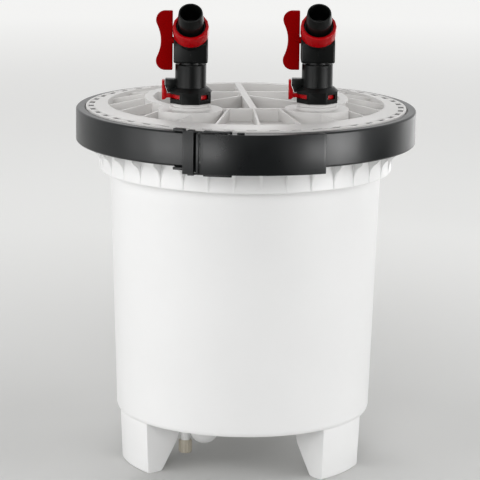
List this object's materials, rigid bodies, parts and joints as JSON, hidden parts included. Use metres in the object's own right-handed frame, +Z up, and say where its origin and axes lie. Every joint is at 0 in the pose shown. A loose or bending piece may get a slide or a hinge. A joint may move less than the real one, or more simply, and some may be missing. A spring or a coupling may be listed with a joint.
{
  "type": "canister filter",
  "caption": "Drum-shaped canister filter on three feet, with a ribbed lid, an over-centre clamp ring and swivelling angle taps with hose barbs.",
  "frame": {"origin": "the middle of the base of the whole filter's box at rest, 5.75 mm in front of the drum's axis", "axes": "+Z up the drum's axis; -Y is the front, where the taps' hose ends point; +X is the right seen from the front"},
  "size_m": [0.4096, 0.421, 0.57],
  "materials": {
    "drum": "gloss",
    "lid": "satin",
    "seal": "matte",
    "clamp": "satin",
    "latch": "satin",
    "steel": "satin",
    "tap": "gloss",
    "key": "satin",
    "nut": "gloss",
    "cap": "satin",
    "inner": "satin",
    "pipe": "satin",
    "coarse_foam": "matte",
    "fine_foam": "matte",
    "media": "matte"
  },
  "bodies": {
    "filter": {"tank": "drum", "drain_washer": "seal", "lid_seal": "seal", "lid": "lid", "clamp_hinge_pin": "steel", "media_tray_lower": "inner", "media_tray_middle": "inner", "media_tray_upper": "inner", "coarse_sponge": "coarse_foam", "fine_sponge": "fine_foam", "ceramic_media": "media", "intake_pipe": "pipe", "outlet_pipe": "pipe", "pump_housing": "inner", "impeller_cover": "inner", "impeller_shaft": "media", "union_nut_left": "tap", "tap_sleeve_left": "tap", "union_nut_right": "tap", "tap_sleeve_right": "tap"},
    "drain_cap": {"drain_cap": "cap"},
    "clamp_left": {"clamp_left": "clamp", "latch_catch": "latch"},
    "clamp_right": {"clamp_right": "clamp", "lever_pin": "steel"},
    "lever": {"latch_lever": "clamp", "link_pin": "steel"},
    "link": {"latch_link": "latch"},
    "impeller": {"impeller": "pipe"},
    "lock_left": {"lock_ring_left": "nut"},
    "tap_left": {"valve_body_left": "tap", "tap_ring_left": "seal", "hose_barb_left": "tap"},
    "key_left": {"valve_key_left": "key", "valve_ball_left": "inner"},
    "hose_nut_left": {"hose_nut_left": "nut"},
    "lock_right": {"lock_ring_right": "nut"},
    "tap_right": {"valve_body_right": "tap", "tap_ring_right": "seal", "hose_barb_right": "tap"},
    "key_right": {"valve_key_right": "key", "valve_ball_right": "inner"},
    "hose_nut_right": {"hose_nut_right": "nut"}
  },
  "joints": [
    {"name": "drain_cap_turn", "type": "hinge", "parent": "filter", "child": "drain_cap", "pos_m": [-0.07452, -0.05117, 0.03], "axis": [0, 0, 1], "continuous": true},
    {"name": "clamp_left_open", "type": "hinge", "parent": "filter", "child": "clamp_left", "pos_m": [0.07739, 0.20022, 0.41275], "axis": [0, 0, -1], "range_deg": [0, 2.2]},
    {"name": "clamp_right_open", "type": "hinge", "parent": "filter", "child": "clamp_right", "pos_m": [0.07739, 0.20022, 0.41275], "axis": [0, 0, 1], "range_deg": [0, 2.2]},
    {"name": "lever_open", "type": "hinge", "parent": "clamp_right", "child": "lever", "pos_m": [-0.07021, -0.19142, 0.41275], "axis": [0, 0, -1], "range_deg": [0, 110]},
    {"name": "link_swing", "type": "hinge", "parent": "lever", "child": "link", "pos_m": [-0.03886, -0.19991, 0.41275], "axis": [0, 0, -1], "range_deg": [-110, 0]},
    {"name": "impeller_spin", "type": "hinge", "parent": "filter", "child": "impeller", "pos_m": [0.03, 0.02575, 0.34], "axis": [0, 0, 1], "continuous": true},
    {"name": "lock_left_turn", "type": "hinge", "parent": "filter", "child": "lock_left", "pos_m": [-0.0742, -0.08545, 0.4608], "axis": [0, 0, 1], "range_deg": [0, 12]},
    {"name": "tap_left_swivel", "type": "hinge", "parent": "filter", "child": "tap_left", "pos_m": [-0.0742, -0.08545, 0.49], "axis": [0, 0, 1], "continuous": true},
    {"name": "key_left_turn", "type": "hinge", "parent": "tap_left", "child": "key_left", "pos_m": [-0.0742, -0.08545, 0.5251], "axis": [0.9954, -0.0958, 0], "range_deg": [0, 90]},
    {"name": "hose_nut_left_turn", "type": "hinge", "parent": "tap_left", "child": "hose_nut_left", "pos_m": [-0.0742, -0.08545, 0.5251], "axis": [-0.0678, -0.7039, 0.7071], "continuous": true},
    {"name": "lock_right_turn", "type": "hinge", "parent": "filter", "child": "lock_right", "pos_m": [0.0742, -0.08545, 0.4608], "axis": [0, 0, 1], "range_deg": [0, 12]},
    {"name": "tap_right_swivel", "type": "hinge", "parent": "filter", "child": "tap_right", "pos_m": [0.0742, -0.08545, 0.49], "axis": [0, 0, 1], "continuous": true},
    {"name": "key_right_turn", "type": "hinge", "parent": "tap_right", "child": "key_right", "pos_m": [0.0742, -0.08545, 0.5251], "axis": [0.9954, -0.0958, 0], "range_deg": [0, 90]},
    {"name": "hose_nut_right_turn", "type": "hinge", "parent": "tap_right", "child": "hose_nut_right", "pos_m": [0.0742, -0.08545, 0.5251], "axis": [-0.0678, -0.7039, 0.7071], "continuous": true}
  ],
  "couplings": [
    {"joint": "link_swing", "follows": "lever_open", "ratio": -1},
    {"joint": "clamp_left_open", "follows": "lever_open", "ratio": 0.02},
    {"joint": "clamp_right_open", "follows": "lever_open", "ratio": 0.02}
  ]
}
